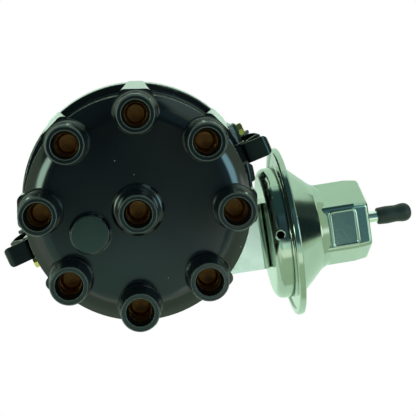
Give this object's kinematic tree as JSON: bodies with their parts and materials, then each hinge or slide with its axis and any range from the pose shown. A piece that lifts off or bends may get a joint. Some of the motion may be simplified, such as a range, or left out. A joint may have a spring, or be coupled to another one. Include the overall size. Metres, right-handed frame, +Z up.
{
  "type": "ignition distributor",
  "caption": "Engine ignition distributor: black cap with lead sockets, spring clips, vacuum advance unit, and a driven shaft with weights, rotor and pick-up.",
  "frame": {"origin": "on the shaft's axis, at the seat where the housing stands on the engine", "axes": "+Z up the shaft to the cap, +X the way the vacuum unit points"},
  "size_m": [0.1721, 0.1106, 0.2008],
  "materials": {
    "housing": "fine blasted casting",
    "bronze": "sintered bronze",
    "rubber": "moulded nitrile rubber",
    "steel": "ground and oiled",
    "plated_plate": "zinc plated sheet",
    "ferrite": "sintered ferrite",
    "winding": "taped and varnished winding",
    "rotor_plastic": "moulded thermoset",
    "brass": "turned brass",
    "contact_steel": "spring steel strip",
    "cap_plastic": "moulded thermoset, semi-gloss",
    "carbon": "pressed carbon",
    "clip_steel": "dark tempered spring steel, oiled",
    "clip_plate_steel": "zinc plated sheet",
    "yellow_zinc": "yellow passivated zinc on steel",
    "canister_zinc": "bright zinc plated pressed steel",
    "bracket_zinc": "bright zinc plated steel",
    "nipple": "plated brass tube"
  },
  "bodies": {
    "root": {"housing": "housing", "upper_bush": "bronze", "lower_bush": "bronze", "shank_seal": "rubber", "lead_grommet": "rubber", "lower_thrust_washer": "steel", "upper_thrust_washer": "steel", "fixed_plate": "plated_plate", "plate_hub": "bronze", "plate_screws": "steel", "cap": "cap_plastic", "tower_terminals": "brass", "coil_terminal": "brass", "carbon_brush": "carbon", "brush_spring": "steel", "clip_screws": "yellow_zinc", "clip_plate_right": "clip_plate_steel", "clip_plate_left": "clip_plate_steel", "clip_pin_right": "steel", "clip_pin_left": "steel", "rear_shell": "canister_zinc", "front_shell": "canister_zinc", "diaphragm": "rubber", "return_spring": "steel", "hose_nipple": "nipple", "vacuum_bracket": "bracket_zinc", "vacuum_screws": "bracket_zinc"},
    "shaft": {"drive_shaft": "steel", "drive_collar": "steel", "roll_pin": "steel", "weight_plate": "plated_plate", "advance_spring_a": "steel", "advance_spring_b": "steel"},
    "weight_a": {"weight_a": "steel"},
    "weight_b": {"weight_b": "steel"},
    "sleeve": {"advance_sleeve": "steel", "reluctor": "steel", "rotor": "rotor_plastic", "rotor_blade": "brass", "rotor_contact": "contact_steel"},
    "plate": {"moving_plate": "plated_plate", "link_clip": "steel", "pickup_bracket": "plated_plate", "pickup_screw": "steel", "magnet": "ferrite", "pole_piece": "steel", "pickup_coil": "winding"},
    "link": {"vacuum_link": "plated_plate", "piston": "plated_plate"},
    "clip_right": {"clip_right": "clip_steel"},
    "clip_left": {"clip_left": "clip_steel"},
    "dust_cap": {"dust_cap": "rubber"}
  },
  "joints": [
    {"name": "shaft_spin", "type": "hinge", "parent": "root", "child": "shaft", "pos_m": [0, 0, 0], "axis": [0, 0, 1], "continuous": true},
    {"name": "advance", "type": "hinge", "parent": "shaft", "child": "sleeve", "pos_m": [0, 0, 0.06], "axis": [0, 0, 1], "range_deg": [-10.7, 0], "stiffness_Nm_per_rad": 0.02, "deforming": ["advance_spring_a", "advance_spring_b"]},
    {"name": "weight_a_swing", "type": "hinge", "parent": "shaft", "child": "weight_a", "pos_m": [0.017, 0, 0.046], "axis": [0, 0, 1], "range_deg": [-18.1, 0]},
    {"name": "weight_b_swing", "type": "hinge", "parent": "shaft", "child": "weight_b", "pos_m": [-0.017, 0, 0.046], "axis": [0, 0, 1], "range_deg": [-18.1, 0]},
    {"name": "pickup_turn", "type": "hinge", "parent": "root", "child": "plate", "pos_m": [0, 0, 0.0594], "axis": [0, 0, 1], "range_deg": [0, 11], "stiffness_Nm_per_rad": 0.05, "deforming": ["diaphragm", "return_spring"]},
    {"name": "link_pull", "type": "slide", "parent": "root", "child": "link", "axis": [1, 0, 0], "range_m": [0, 0.00505]},
    {"name": "clip_right_swing", "type": "hinge", "parent": "root", "child": "clip_right", "pos_m": [0.05025, 0.01337, 0.058], "axis": [-0.2571, 0.9664, 0], "range_deg": [0, 70]},
    {"name": "clip_left_swing", "type": "hinge", "parent": "root", "child": "clip_left", "pos_m": [-0.05025, -0.01337, 0.058], "axis": [0.2571, -0.9664, 0], "range_deg": [0, 70]},
    {"name": "dust_cap_pull", "type": "slide", "parent": "root", "child": "dust_cap", "axis": [1, 0, 0], "range_m": [0, 0.006]}
  ],
  "couplings": [
    {"joint": "weight_a_swing", "follows": "advance", "ratio": 1.682},
    {"joint": "weight_b_swing", "follows": "advance", "ratio": 1.682},
    {"joint": "link_pull", "follows": "pickup_turn", "m_per_rad": 0.026044}
  ]
}
